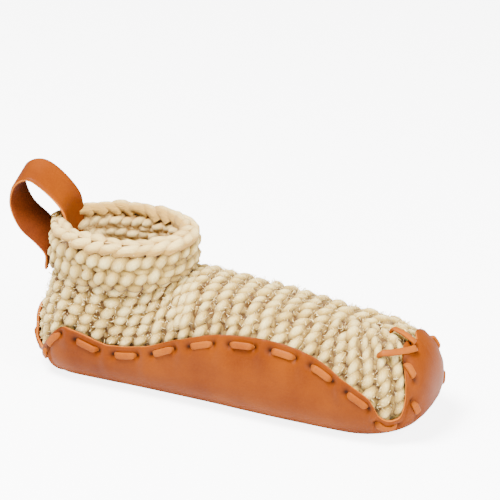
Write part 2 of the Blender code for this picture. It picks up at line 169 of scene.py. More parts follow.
def root(rib):
    toe = BALL_X + (TIP_X - BALL_X) * TOE_ROOTS * (1.0 - rib / BALL_RIB)
    heel = HEEL_FAN_X + (HEEL_X - HEEL_FAN_X) * HEEL_ROOTS * (rib - HEEL_RIB) / (RIBS - HEEL_RIB)
    return np.where(rib < BALL_RIB, toe, np.where(rib > HEEL_RIB, heel, outline(rib)[0]))


def head(rib):
    turn = math.pi * np.clip((rib - COLLAR_RIB) / (RIBS - COLLAR_RIB), 0.0, 1.0)
    behind = rib >= COLLAR_RIB
    along = np.where(rib < BALL_RIB, blend(TOE_TOP_X, BALL_X, rib / BALL_RIB), outline(rib)[0])
    share = (TOE_TOP_X - along) / (TOE_TOP_X - COLLAR_FRONT_X)
    height = blend(TOE_BOX_HEIGHT, INSTEP_HEIGHT, read_table(CROWN_TABLE, np.clip(share, 0.0, 1.0)))
    head_x = np.where(behind, COLLAR_X + COLLAR_LENGTH / 2 * np.cos(turn), along)
    head_y = np.where(behind, COLLAR_WIDTH / 2 * np.sin(turn), 0.0)
    return head_x, head_y, np.where(behind, INSTEP_HEIGHT, height)


def lift(place):
    toe = ease((place - BALL_X) / (TIP_X - BALL_X))
    heel = ease((HEEL_FAN_X - place) / (HEEL_FAN_X - HEEL_X))
    return TOE_SPRING * toe * toe + HEEL_SPRING * heel * heel


def last_at(rib, share):
    """Places on the last at shares of the way along ribs."""
    rib, side = one_side(rib)
    share = np.asarray(share, dtype=float)
    out_x, out_y = outline(rib)
    root_x = root(rib)
    turn = UNDER_TURN / np.hypot(out_x - root_x, out_y)
    angle = math.pi / 2 * np.clip((share - UNDER) / (TURNED - UNDER), 0.0, 1.0)
    out = (1.0 - turn) * np.minimum(share / UNDER, 1.0) + turn * np.sin(angle)
    low_x = blend(root_x, out_x, out)
    low = (low_x, out_y * out, SKIN + lift(low_x) + SIDE_HEIGHT * (1.0 - np.cos(angle)))
    up = np.clip((share - TURNED) / (1.0 - TURNED), 0.0, 1.0)
    top_x, top_y, top_z = head(rib)
    over_in = 1.0 - np.clip(np.cos(math.pi / 2 * up), 0.0, 1.0) ** INSTEP_BOXINESS
    over_up = np.sin(math.pi / 2 * up) ** INSTEP_BOXINESS
    upright = ease((rib - COLLAR_RIB + 1.0) / ANKLE_RIBS)
    inward = blend(over_in, ease(up), upright)
    upward = blend(over_up, up, upright)
    side_z = SKIN + lift(out_x) + SIDE_HEIGHT
    high = (blend(out_x, top_x, inward), blend(out_y, top_y, inward), blend(side_z, top_z, upward))
    places = [np.where(share > TURNED, above, below) for above, below in zip(high, low)]
    return np.stack([places[0], places[1] * side, places[2]], axis=-1)


def way_along(places):
    """Length from the first of a line of places to each of them."""
    return np.concatenate([[0.0], np.cumsum(np.linalg.norm(np.diff(places, axis=0), axis=1))])


def unit(vectors):
    return vectors / np.maximum(np.linalg.norm(vectors, axis=-1, keepdims=True), NEAR * NEAR)


def outward(rib, share):
    """Directions straight out of the last; where the ribs meet on the middle line it is up or down."""
    share = np.asarray(share, dtype=float)
    across = last_at(rib + RIB_STEP, share) - last_at(rib - RIB_STEP, share)
    above = last_at(rib, np.minimum(share + SHARE_STEP, 1.0))
    along = above - last_at(rib, np.maximum(share - SHARE_STEP, 0.0))
    normal = np.cross(across, along)
    middle = np.abs(last_at(rib, share)[..., 1]) < NEAR
    normal[..., 1] = np.where(middle, 0.0, normal[..., 1])
    lost = np.linalg.norm(normal, axis=-1) < NEAR * NEAR
    normal[lost] = (0.0, 0.0, 1.0)
    normal[lost, 2] = np.where(np.broadcast_to(share, lost.shape)[lost] > TURNED, 1.0, -1.0)
    return unit(normal)


def over_last(rib, share, height):
    return last_at(rib, share) + outward(rib, share) * np.asarray(height)[..., None]


def edge(rib):
    """Share of a rib that the leather covers."""
    return read_table(EDGE_TABLE, one_side(rib)[0] / RIBS)


def rise(rib, share):
    """Length of a rib at a share of it, for each share."""
    return np.linalg.norm(last_at(rib, share) - last_at(rib, share - SHARE_STEP), axis=-1) / SHARE_STEP


def add_node(tree, kind, inputs=None, **settings):
    """Add a node, set what it is told, and fill or link its inputs."""
    made = tree.nodes.new(kind)
    for name, value in settings.items():
        setattr(made, name, value)
    for name, value in (inputs or {}).items():
        if isinstance(value, bpy.types.NodeSocket):
            tree.links.new(value, made.inputs[name])
        else:
            made.inputs[name].default_value = value
    return made


def linear(colour):
    """An sRGB hex value as the linear colour that a shader takes."""
    parts = [int(colour[start:start + 2], 16) / 255 for start in (0, 2, 4)]
    return tuple(p / 12.92 if p <= 0.04045 else ((p + 0.055) / 1.055) ** 2.4 for p in parts) + (1.0,)


def new_material(name):
    surface = bpy.data.materials.new(name)
    surface.use_nodes = True
    tree = surface.node_tree
    return surface, tree, tree.nodes["Principled BSDF"]


def place_object(name, data):
    made = bpy.data.objects.new(name, data)
    bpy.context.scene.collection.objects.link(made)
    return made


def mesh_object(name, points, faces, groups=None, materials=(), values=None):
    """Object of points and faces; groups gives each face its material, values a number to each point."""
    mesh = bpy.data.meshes.new(name)
    mesh.from_pydata([tuple(point) for point in points], [], faces)
    if groups is not None:
        mesh.polygons.foreach_set("material_index", groups)
    for key, numbers in (values or {}).items():
        store = mesh.attributes.new(key, "FLOAT", "POINT")
        store.data.foreach_set("value", np.asarray(numbers, dtype=float))
    cage = bmesh.new()
    cage.from_mesh(mesh)
    bmesh.ops.remove_doubles(cage, verts=cage.verts, dist=NEAR)
    bmesh.ops.dissolve_degenerate(cage, edges=cage.edges, dist=NEAR)
    cage.to_mesh(mesh)
    cage.free()
    for surface in materials:
        mesh.materials.append(surface)
    mesh.shade_smooth()
    return place_object(name, mesh)


# The knit of the foot. One thick, softly spun undyed wool yarn, knitted whole in a coarse rib. Each rib is a
# column of plump stitches: the two legs of a loop, and behind them the yarn that runs on to the next rib.
KNIT_TUCK = 0.004
YARN = 0.0043
STITCH_HEIGHT = 0.0078
KNIT_DEPTH = 0.0045
# Heights in a stitch over which the wool's colour runs from painted shade in the valleys to painted highlight
# on the tops
PAINTED_SHADE_LEVEL = 0.0008
PAINTED_HIGHLIGHT_LEVEL = 0.0058
WALL_OUT = 0.0026
WALL_IN = 0.0045
WALL_COLUMNS = 90
WALL_LOW_ROWS = 10
WALL_HIGH_ROWS = 14
WALL_COLLAR_ROWS = 6
HIDDEN = 0.009
PATH_STEPS = 400
LUMP = 0.0009
PLACE_STRAY = 0.0003
ALONG_STRAY = 0.09
FACING_STRAY = 0.06
SIZE_STRAY = 0.06
DEEPER = 0.6
CROWDED = 0.0064
LEAST_WIDTH = 0.72
MOST_WIDTH = 1.3
PLUMP_ENDS = 0.72
PLUMP_MIDDLE = 0.30
BARE_RISE = 0.02
BARE_HIDDEN = 0.01
FIBRE_WEIGHT = 0.42
PATCH_WEIGHT = 0.25
TINT_WEIGHT = 0.12
TONE_SHIFT = 0.50
FIBRE_RELIEF = 0.0011
WALL_TOP = 0.12

# The strands of a stitch in rib widths, stitch heights and yarn thicknesses: start, two handles, end
RIGHT_LEG = ((-0.18, -0.60, -0.42), (-0.12, -0.30, 0.58), (0.12, 0.20, 0.78), (0.22, 0.60, -0.38))
LEFT_LEG = ((-0.22, -0.60, -0.50), (-0.36, -0.34, -0.06), (-0.50, 0.02, 0.04), (-0.42, 0.48, -0.45))
RUNG = ((0.22, 0.44, -0.40), (0.40, 0.12, 0.10), (0.62, 0.12, 0.10), (0.80, 0.44, -0.40))


def sheet_net(outer, inner):
    """Points, faces and face groups of a sheet between two nets of the same rows: 0 out, 1 in, 2 cut edge.

    Rows run from the lower edge up and follow each other round. A short row ends on the middle line.
    """
    starts = np.concatenate([[0], np.cumsum([len(row) for row in outer])])
    count = int(starts[-1])
    points = [point for row in outer for point in row] + [point for row in inner for point in row]
    faces = []
    groups = []

    def middle(*corners):
        return all(abs(points[corner][1]) < NEAR for corner in corners)

    for index, row in enumerate(outer):
        here = int(starts[index])
        other = (index + 1) % len(outer)
        beside = int(starts[other])
        for step in range(min(len(row), len(outer[other])) - 1):
            cell = (here + step, beside + step, beside + step + 1, here + step + 1)
            faces += [cell, tuple(count + corner for corner in reversed(cell))]
            groups += [0, 1]
        for step, turn in ((0, -1), (-1, 1)):
            low = here + (len(row) - 1 if step else 0)
            next_low = beside + (len(outer[other]) - 1 if step else 0)
            if not middle(low, next_low):
                faces.append((low, next_low, count + next_low, count + low)[::turn])
                groups.append(2)
    return points, faces, groups


def tuck(rib):
    """Share of a rib where the knit begins under the foot."""
    far, _ = one_side(rib)
    out_x, out_y = outline(far)
    return UNDER * (1.0 - KNIT_TUCK / (np.hypot(out_x - root(far), out_y) - UNDER_TURN))


def level_share(rib, below):
    """Share of a rib that lies a length below its head."""
    return 1.0 - below / rise(rib, np.full(np.shape(rib), 1.0))


def collar_out(rib):
    """Directions straight out of the collar's wall."""
    turn = math.pi * (rib - COLLAR_RIB) / (RIBS - COLLAR_RIB)
    flat = np.stack([np.cos(turn) / COLLAR_LENGTH, np.sin(turn) / COLLAR_WIDTH, 0.0 * turn], axis=-1)
    return unit(flat)


def collar_at(rib, below):
    """Places on the outside of the collar a length below its rim, and directions out of it."""
    rib = np.asarray(rib, dtype=float)
    below = np.broadcast_to(np.asarray(below, dtype=float), rib.shape)
    low = below > COLLAR_HEIGHT
    share = np.where(low, level_share(rib, np.maximum(below - COLLAR_HEIGHT, 0.0)), 1.0)
    place = last_at(rib, share)
    place[..., 2] += np.where(low, 0.0, COLLAR_HEIGHT - below)
    return place, np.where(low[..., None], outward(rib, share), collar_out(rib))


def wall_net(depth, bare=False):
    """Rows of the knit's ground at a depth below its outside: foot and ankle, then on up the collar.

    A bare net begins over the leather's edge.
    """
    foot = np.linspace(0.0, COLLAR_RIB, WALL_COLUMNS, endpoint=False)
    collar = np.linspace(COLLAR_RIB, ROUND - COLLAR_RIB, WALL_COLUMNS)
    rows = []
    for rib in np.concatenate([foot, collar, ROUND - foot[:0:-1]]):
        turned = max(float(edge(rib)) + BARE_RISE, TURNED) if bare else TURNED
        start = turned - BARE_HIDDEN if bare else float(tuck(rib))
        low = np.linspace(start, turned, WALL_LOW_ROWS, endpoint=False)
        shares = np.concatenate([low, np.linspace(turned, 1.0, WALL_HIGH_ROWS)])
        row = over_last(np.full(len(shares), rib), shares, np.full(len(shares), -depth))
        if COLLAR_RIB - NEAR <= rib <= ROUND - COLLAR_RIB + NEAR:
            below = COLLAR_HEIGHT * np.linspace(1.0, WALL_TOP, WALL_COLLAR_ROWS)
            place, out = collar_at(np.full(WALL_COLLAR_ROWS, rib), below)
            row = np.concatenate([row[:-1], place - out * depth])
        row[np.abs(row[:, 1]) < NEAR, 1] = 0.0
        rows.append(row)
    return rows


def ground_material(name, dark, light):
    """The back of the knit as it shows deep between the stitches, in strands 1.4 mm apart, coloured darker
    than the yarn as painted shade.
    """
    surface, tree, shader = new_material(name)
    place = add_node(tree, "ShaderNodeTexCoord")
    strands = add_node(tree, "ShaderNodeTexNoise", {
        "Vector": place.outputs["Object"],
        "Scale": 700.0,
        "Detail": 3.0,
    })
    tone = add_node(tree, "ShaderNodeValToRGB", {"Fac": strands.outputs["Fac"]})
    tone.color_ramp.elements[0].color = linear(dark)
    tone.color_ramp.elements[1].color = linear(light)
    bump = add_node(tree, "ShaderNodeBump", {"Height": strands.outputs["Fac"], "Distance": 0.0006})
    tree.links.new(tone.outputs["Color"], shader.inputs["Base Color"])
    tree.links.new(bump.outputs["Normal"], shader.inputs["Normal"])
    shader.inputs["Roughness"].default_value = 1.0
    return surface


points, faces, groups = sheet_net(wall_net(WALL_OUT), wall_net(WALL_IN))
# Painted shade: dark brown in the pits outside, lighter tan inside the collar and on the cut edges
PAINTED_SHADE_GROUNDS = [
    ground_material("Wool in painted shade between the stitches", "3E2A10", "6C4A1C"),
    ground_material("Wool in painted shade between the stitches, inside", "BE9450", "DCB870"),
]
knit_wall = mesh_object("knit_wall", points, faces, [min(group, 1) for group in groups], PAINTED_SHADE_GROUNDS)


def node_group(name, sizes):
    """Geometry node tree with a geometry input, named sizes, a material and a geometry output."""
    tree = bpy.data.node_groups.new(name, "GeometryNodeTree")
    tree.interface.new_socket("Geometry", in_out="INPUT", socket_type="NodeSocketGeometry")
    tree.interface.new_socket("Geometry", in_out="OUTPUT", socket_type="NodeSocketGeometry")
    for size in sizes:
        tree.interface.new_socket(size, in_out="INPUT", socket_type="NodeSocketFloat")
    tree.interface.new_socket("Surface", in_out="INPUT", socket_type="NodeSocketMaterial")
    return tree, add_node(tree, "NodeGroupInput"), add_node(tree, "NodeGroupOutput")


def end_group(tree, given, taken, geometry):
    """Realize what a tree makes, give it soft lumps 3 mm across, smooth it and set its material."""
    real = add_node(tree, "GeometryNodeRealizeInstances", {"Geometry": geometry})
    lumps = add_node(tree, "ShaderNodeTexNoise", {"Scale": 330.0, "Detail": 2.0})
    level = add_node(tree, "ShaderNodeMath", {0: lumps.outputs["Fac"], 1: 0.5}, operation="SUBTRACT")
    lump = add_node(tree, "ShaderNodeMath", {0: level.outputs[0], 1: LUMP * 2.0}, operation="MULTIPLY")
    out = add_node(tree, "GeometryNodeInputNormal")
    shift = add_node(tree, "ShaderNodeVectorMath", {
        0: out.outputs[0],
        "Scale": lump.outputs[0],
    }, operation="SCALE")
    moved = add_node(tree, "GeometryNodeSetPosition", {
        "Geometry": real.outputs[0],
        "Offset": shift.outputs[0],
    })
    smooth = add_node(tree, "GeometryNodeSetShadeSmooth", {"Geometry": moved.outputs[0]})
    named = {"Geometry": smooth.outputs[0], "Material": given.outputs["Surface"]}
    finish = add_node(tree, "GeometryNodeSetMaterial", named)
    tree.links.new(finish.outputs[0], taken.inputs[0])


def make_from(host, tree, name, sizes, surface):
    """Run a tree on an object, keep the result as a plain mesh of its own, and drop the host."""
    change = host.modifiers.new(tree.name, "NODES")
    change.node_group = tree
    for item in tree.interface.items_tree:
        if item.in_out == "INPUT" and item.name in sizes:
            change[item.identifier] = sizes[item.name]
        if item.in_out == "INPUT" and item.name == "Surface":
            change[item.identifier] = surface
    bpy.context.view_layer.update()
    shown = host.evaluated_get(bpy.context.evaluated_depsgraph_get())
    mesh = bpy.data.meshes.new_from_object(shown)
    mesh.name = name
    bpy.data.objects.remove(host, do_unlink=True)
    return place_object(name, mesh)


def yarn_tube(tree, given, handles, thickness, sides, steps):
    """A stretch of yarn along a curve of four handles, plumper in the middle."""
    names = ("Start", "Start Handle", "End Handle", "End")
    inputs = dict(zip(names, handles))
    inputs["Resolution"] = steps
    line = add_node(tree, "GeometryNodeCurvePrimitiveBezierSegment", inputs, mode="POSITION")
    size = add_node(tree, "ShaderNodeCombineXYZ", {
        "X": given.outputs["Rib width"],
        "Y": given.outputs["Stitch height"],
        "Z": given.outputs["Yarn"],
    })
    sized = add_node(tree, "GeometryNodeTransform", {"Geometry": line.outputs[0], "Scale": size.outputs[0]})
    part = add_node(tree, "GeometryNodeSplineParameter")
    turn = add_node(tree, "ShaderNodeMath", {0: part.outputs["Factor"], 1: math.pi}, operation="MULTIPLY")
    wave = add_node(tree, "ShaderNodeMath", {0: turn.outputs[0]}, operation="SINE")
    plump = add_node(tree, "ShaderNodeMath", {
        0: wave.outputs[0],
        1: PLUMP_MIDDLE,
        2: PLUMP_ENDS,
    }, operation="MULTIPLY_ADD")
    radius = add_node(tree, "ShaderNodeMath", {
        0: given.outputs["Yarn"],
        1: thickness / 2,
    }, operation="MULTIPLY")
    ring = add_node(tree, "GeometryNodeCurvePrimitiveCircle", {
        "Resolution": sides,
        "Radius": radius.outputs[0],
    })
    tube = add_node(tree, "GeometryNodeCurveToMesh", {
        "Curve": sized.outputs[0],
        "Profile Curve": ring.outputs[0],
        "Scale": plump.outputs[0],
        "Fill Caps": True,
    })
    return tube.outputs[0]


def stitch_group(name, strands):
    """Tree that sets a stitch of several strands of yarn at each point, along its rib and facing out."""
    tree, given, taken = node_group(name, ("Rib width", "Stitch height", "Yarn"))
    joined = add_node(tree, "GeometryNodeJoinGeometry")
    for handles, thickness, sides, steps in strands:
        tree.links.new(yarn_tube(tree, given, handles, thickness, sides, steps), joined.inputs[0])
    place = add_node(tree, "GeometryNodeInputPosition")
    spun = add_node(tree, "GeometryNodeStoreNamedAttribute", {
        "Geometry": joined.outputs[0],
        "Name": "spun",
        "Value": place.outputs[0],
    }, data_type="FLOAT_VECTOR", domain="POINT")
    along, facing, size = [
        add_node(tree, "GeometryNodeInputNamedAttribute", {"Name": name}, data_type="FLOAT_VECTOR")
        for name in ("along", "facing", "size")
    ]
    turned = add_node(tree, "FunctionNodeAxesToRotation", {
        "Primary Axis": facing.outputs[0],
        "Secondary Axis": along.outputs[0],
    }, primary_axis="Z", secondary_axis="Y")
    set_down = add_node(tree, "GeometryNodeInstanceOnPoints", {
        "Points": given.outputs["Geometry"],
        "Instance": spun.outputs[0],
        "Rotation": turned.outputs[0],
        "Scale": size.outputs[0],
    })
    end_group(tree, given, taken, set_down.outputs[0])
    return tree


def column_of_stitches(ribs, shares):
    """Points for a column of stitches on the last: place, direction along it, direction it faces, size."""
    places = last_at(ribs, shares)
    way = way_along(places)
    count = max(round(way[-1] / STITCH_HEIGHT), 1)
    step = way[-1] / count
    picks = np.searchsorted(way, (np.arange(count) + 0.5) / count * way[-1])
    picks = np.minimum(picks, len(way) - 1)
    along = unit(np.gradient(places, axis=0))[picks]
    normal = outward(ribs, shares)[picks]
    beside = last_at(ribs[picks] + 0.5, shares[picks]) - last_at(ribs[picks] - 0.5, shares[picks])
    width = np.linalg.norm(beside, axis=-1) / RIB_PITCH
    merged = (width * RIB_PITCH < CROWDED) & (one_side(ribs[picks])[0] < BALL_RIB)
    width = np.clip(np.where(merged, 2.0 * width, width), LEAST_WIDTH, MOST_WIDTH)
    size = np.stack([width, np.full(count, step / STITCH_HEIGHT), blend(1.0, width, DEEPER)], axis=-1)
    return places[picks] - normal * KNIT_DEPTH, along, normal, size


def lay_points(name, columns, seed):
    """One mesh of points from columns of stitches, each a little off its place as hand knitting is."""
    draw = np.random.default_rng(seed)
    places, along, facing, size = [np.concatenate(parts) for parts in zip(*columns)]
    places = places + draw.normal(0.0, PLACE_STRAY, places.shape)
    along = unit(along + draw.normal(0.0, ALONG_STRAY, along.shape))
    facing = unit(facing + draw.normal(0.0, FACING_STRAY, facing.shape))
    size = size * (1.0 + draw.normal(0.0, SIZE_STRAY, size.shape))
    mesh = bpy.data.meshes.new(name)
    mesh.from_pydata([tuple(place) for place in places], [], [])
    for key, numbers in (("along", along), ("facing", facing), ("size", size)):
        mesh.attributes.new(key, "FLOAT_VECTOR", "POINT").data.foreach_set("vector", numbers.ravel())
    mesh.attributes.new("tint", "FLOAT", "POINT").data.foreach_set("value", draw.random(len(places)))
    return place_object(name, mesh)


def wool_material(name, light, shade, deep):
    """Softly spun undyed wool, matt, with painted light and shade: light where a strand stands up in its
    stitch, warm yellow to brown deep between the stitches.

    The fibre runs along the yarn, in strands 0.4 mm apart and 2.4 mm long. Patches 6 mm across are cloudier.
    """
    surface, tree, shader = new_material(name)
    spun = add_node(tree, "ShaderNodeAttribute", attribute_name="spun")
    tint = add_node(tree, "ShaderNodeAttribute", attribute_name="tint")
    shift = add_node(tree, "ShaderNodeMath", {0: tint.outputs["Fac"], 1: 3.0}, operation="MULTIPLY")
    moved = add_node(tree, "ShaderNodeVectorMath", {
        0: spun.outputs["Vector"],
        1: shift.outputs[0],
    }, operation="ADD")
    strands = add_node(tree, "ShaderNodeMapping", {
        "Vector": moved.outputs[0],
        "Scale": (2500.0, 420.0, 2500.0),
    })
    fibre = add_node(tree, "ShaderNodeTexNoise", {"Vector": strands.outputs[0], "Scale": 1.0, "Detail": 3.0})
    place = add_node(tree, "ShaderNodeTexCoord")
    patches = add_node(tree, "ShaderNodeTexNoise", {
        "Vector": place.outputs["Object"],
        "Scale": 160.0,
        "Detail": 2.0,
    })
    parts = add_node(tree, "ShaderNodeSeparateXYZ", {"Vector": spun.outputs["Vector"]})
    # Painted shade and highlight: the colour follows each point's height in its stitch
    level = add_node(tree, "ShaderNodeMapRange", {
        "Value": parts.outputs["Z"],
        "From Min": PAINTED_SHADE_LEVEL,
        "From Max": PAINTED_HIGHLIGHT_LEVEL,
    })
    mixed = level.outputs[0]
    for part, weight in ((fibre, FIBRE_WEIGHT), (patches, PATCH_WEIGHT), (tint, TINT_WEIGHT)):
        weighed = add_node(tree, "ShaderNodeMath", {
            0: part.outputs["Fac"],
            1: weight,
            2: mixed,
        }, operation="MULTIPLY_ADD")
        mixed = weighed.outputs[0]
    eased = add_node(tree, "ShaderNodeMath", {0: mixed, 1: TONE_SHIFT}, operation="SUBTRACT")
    # Ramp from the painted shade of the valleys (deep, shade) to the painted highlight on the tops (light)
    tone = add_node(tree, "ShaderNodeValToRGB", {"Fac": eased.outputs[0]})
    tone.color_ramp.elements[0].color = linear(deep)
    tone.color_ramp.elements[1].color = linear(light)
    tone.color_ramp.elements[1].position = 0.90
    middle = tone.color_ramp.elements.new(0.50)
    middle.color = linear(shade)
    bump = add_node(tree, "ShaderNodeBump", {"Height": fibre.outputs["Fac"], "Distance": FIBRE_RELIEF})
    tree.links.new(tone.outputs["Color"], shader.inputs["Base Color"])
    tree.links.new(bump.outputs["Normal"], shader.inputs["Normal"])
    shader.inputs["Roughness"].default_value = 0.92
    shader.inputs["Specular IOR Level"].default_value = 0.1
    shader.inputs["Sheen Weight"].default_value = 0.12
    shader.inputs["Sheen Roughness"].default_value = 0.5
    return surface


# Three copies of one yarn, each with painted shade by height in the stitch. The cast-off edge's copy is
# painted lighter, as a lit top, and the inside's copy has lighter painted shade in its pits
WOOL = wool_material("Hand-spun wool, coarse rib, painted shade", "F8E49E", "BC9A4E", "52340E")
WOOL_EDGE_PAINTED_LIGHTER = wool_material("Hand-spun wool, cast-off edge, painted lighter", "FAE49A", "F0D286", "B88E44")
WOOL_INSIDE_LIGHTER_SHADE = wool_material("Hand-spun wool, inside, lighter painted shade", "FAE6A4", "EACA80", "BE8E48")
KNIT_SIZES = {"Rib width": RIB_PITCH, "Stitch height": STITCH_HEIGHT, "Yarn": YARN}
RIB_STITCH = stitch_group("Rib stitch", (
    (RIGHT_LEG, 2.08, 11, 9),
    (LEFT_LEG, 1.95, 10, 8),
    (RUNG, 1.85, 8, 6),
))

foot_columns = []
for rib in range(0, int(COLLAR_RIB) + 1):
    start = float(edge(rib)) - HIDDEN / float(rise(rib, edge(rib)))
    up = np.linspace(start, 1.0, PATH_STEPS)
    space = np.linalg.norm(last_at(rib + 0.5, up) - last_at(rib - 0.5, up), axis=-1)
    if rib % 2 and space[-1] < CROWDED:
        up = up[:np.nonzero(space < CROWDED)[0][0]]
        foot_columns.append(column_of_stitches(np.full(len(up), float(rib)), up))
        foot_columns.append(column_of_stitches(np.full(len(up), float(ROUND - rib)), up))
    elif rib == 0:
        foot_columns.append(column_of_stitches(np.zeros(PATH_STEPS), up))
    else:
        ribs = np.concatenate([np.full(PATH_STEPS, float(rib)), np.full(PATH_STEPS - 1, float(ROUND - rib))])
        foot_columns.append(column_of_stitches(ribs, np.concatenate([up, up[-2::-1]])))
foot_points = lay_points("foot_points", foot_columns, 11)
knit_foot = make_from(foot_points, RIB_STITCH, "knit_foot", KNIT_SIZES, WOOL)
for part in (knit_wall, knit_foot):
    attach(part, "root")
    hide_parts("upper")

# The collar, of the same yarn. A cast-off chain runs along the rim, and under it lie garter ridges, rows of
# purl bumps with the loops that sling from one to the next. They are squeezed together over the instep, and
# the wall's back shows as purl bumps too, which leave room for the pull strap.
COLLAR_STITCHES = 24
GARTER_STITCHES = 30
CHAIN = 0.0095
CHAIN_LEAN = 0.55
GARTER_ROW = 0.0097
GARTER_ROWS = 2
FRONT_SQUEEZE = 0.76
SQUEEZE_FROM = 0.55
CHAIN_HEIGHT = 1.15
RIM_DROP = 0.0052
RIM_DEPTH = 0.0040
RIDGE_DEPTH = 0.0020
INSIDE_DEPTH = 0.0060
INSIDE_ROWS = 8
INSIDE_ROW = 0.0078
LINING_TOP = 0.9 * CHAIN
STRAP_REACH = 0.0135
STRAP_DEPTH = 0.0018
STRAP_END = 0.033
STRAP_SQUEEZE = 0.62

# The strands of its stitches, in the same measures
OUTER_CHAIN = ((0.28, -0.62, -0.60), (0.42, -0.22, 0.06), (0.34, 0.20, 0.34), (0.08, 0.64, -0.05))
INNER_CHAIN = ((-0.16, -0.62, -0.60), (-0.36, -0.20, 0.02), (-0.30, 0.20, 0.28), (-0.06, 0.64, -0.10))
BUMP_STRAND = ((-0.46, -0.20, -0.35), (-0.26, -0.12, 0.60), (0.24, 0.14, 0.64), (0.46, 0.34, -0.35))
SLUNG_STRAND = ((-0.04, -0.34, -0.20), (0.14, -0.62, 0.50), (0.86, -0.62, 0.50), (1.04, -0.34, -0.20))
FILL_STRAND = ((0.50, -0.50, -0.40), (0.46, -0.20, 0.24), (0.56, 0.26, 0.24), (0.50, 0.60, -0.40))
LINING_BUMP = ((-0.40, -0.12, -0.05), (-0.24, -0.04, 0.30), (0.24, 0.10, 0.30), (0.42, 0.20, -0.05))
LINING_LOOP = ((0.04, -0.30, -0.05), (0.14, -0.56, 0.20), (0.86, -0.56, 0.20), (0.96, -0.30, -0.05))
LINING_FILL = ((0.50, -0.50, -0.15), (0.47, -0.22, 0.08), (0.55, 0.22, 0.08), (0.50, 0.56, -0.15))


def squeeze(rib):
    """How far the collar's rows are pushed together, least at the back and most at the front."""
    turn = np.abs(np.asarray(rib, dtype=float) - RIBS) / (RIBS - COLLAR_RIB)
    return blend(1.0, FRONT_SQUEEZE, ease((turn - SQUEEZE_FROM) / (1.0 - SQUEEZE_FROM)))


def ring_of_stitches(count, below, depth, first, chain=False, inside=False):
    """Points for a row of stitches round the collar, a length below its rim."""
    around = COLLAR_RIB + (np.arange(PATH_STEPS * 2) / (PATH_STEPS * 2)) * (ROUND - 2 * COLLAR_RIB)
    places, out = collar_at(around, below * squeeze(around))
    closed = np.concatenate([places, places[:1]])
    way = way_along(closed)
    picks = np.searchsorted(way[:-1], (np.arange(count) + first) / count * way[-1]) % len(around)
    by_strap = (np.abs(places[picks][:, 1]) < STRAP_REACH) & (places[picks][:, 0] < COLLAR_X)
    if inside and below < STRAP_END:
        picks = picks[~by_strap]
    run = unit(np.roll(places, -2, axis=0) - np.roll(places, 2, axis=0))[picks]
    up = np.cross(run, out[picks])
    up = up * np.where(up[:, 2:] < 0.0, -1.0, 1.0)
    wide = way[-1] / count
    if chain:
        depth = np.where(by_strap, STRAP_DEPTH, depth)[:, None]
        along, facing = run, unit(up + out[picks] * CHAIN_LEAN)
        across = np.where(by_strap, STRAP_SQUEEZE, 1.0)
        size = np.stack([across, np.full(count, wide / STITCH_HEIGHT), CHAIN_HEIGHT * across], axis=-1)
    else:
        along, facing = up, -out[picks] if inside else out[picks]
        tall = squeeze(around[picks]) * (INSIDE_ROW if inside else GARTER_ROW) / STITCH_HEIGHT
        size = np.stack([np.full(len(picks), wide / RIB_PITCH), tall, blend(1.0, tall, 0.5)], axis=-1)
    return places[picks] - out[picks] * depth, along, facing, size


CHAIN_STITCH = stitch_group("Cast-off chain", (
    (OUTER_CHAIN, 1.95, 11, 9),
    (INNER_CHAIN, 1.85, 10, 9),
))
GARTER_STITCH = stitch_group("Garter stitch", (
    (BUMP_STRAND, 2.25, 11, 9),
    (SLUNG_STRAND, 1.55, 8, 9),
    (FILL_STRAND, 1.9, 9, 7),
))
LINING_STITCH = stitch_group("Purl lining", (
    (LINING_BUMP, 2.05, 9, 7),
    (LINING_LOOP, 1.6, 7, 8),
    (LINING_FILL, 1.8, 7, 6),
))
rim = [ring_of_stitches(COLLAR_STITCHES, RIM_DROP, RIM_DEPTH, 0.5, chain=True)]
knit_rim = make_from(lay_points("rim_points", rim, 13), CHAIN_STITCH, "knit_rim", KNIT_SIZES, WOOL_EDGE_PAINTED_LIGHTER)
ridges = []
for row in range(GARTER_ROWS):
    below = CHAIN + (row + 0.5) * GARTER_ROW
    ridges.append(ring_of_stitches(GARTER_STITCHES, below, RIDGE_DEPTH, 0.5 * (row % 2)))
collar_points = lay_points("collar_points", ridges, 14)
knit_collar = make_from(collar_points, GARTER_STITCH, "knit_collar", KNIT_SIZES, WOOL)
lining = []
for row in range(INSIDE_ROWS):
    below = LINING_TOP + (row + 0.5) * INSIDE_ROW
    lining.append(ring_of_stitches(GARTER_STITCHES, below, INSIDE_DEPTH, 0.5 * (row % 2), inside=True))
lining_points = lay_points("lining_points", lining, 15)
knit_lining = make_from(lining_points, LINING_STITCH, "knit_lining", KNIT_SIZES, WOOL_INSIDE_LIGHTER_SHADE)

# The ankle, of the same yarn. The foot's ribs go on round the heel and up to the collar's lowest ridge. A
# short extra rib on each side fills the fold where the instep turns up into the collar.
FOLD_RIB = 17.5
FOLD_SHARE = 0.62
ankle_columns = []
for rib in list(range(int(COLLAR_RIB) + 1, ROUND - int(COLLAR_RIB))) + [FOLD_RIB, ROUND - FOLD_RIB]:
    start = float(edge(rib)) - HIDDEN / float(rise(rib, edge(rib)))
    drop = (CHAIN + GARTER_ROWS * GARTER_ROW) * squeeze(rib) - COLLAR_HEIGHT
    if rib % 1 > 0.0:
        start = FOLD_SHARE
    top = min(float(level_share(float(rib), drop)), 1.0)
    up = np.linspace(start, top, PATH_STEPS)
    ankle_columns.append(column_of_stitches(np.full(PATH_STEPS, float(rib)), up))
ankle_points = lay_points("ankle_points", ankle_columns, 12)
knit_ankle = make_from(ankle_points, RIB_STITCH, "knit_ankle", KNIT_SIZES, WOOL)
for part in (knit_ankle, knit_rim, knit_collar, knit_lining):
    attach(part, "root")
    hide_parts("upper")

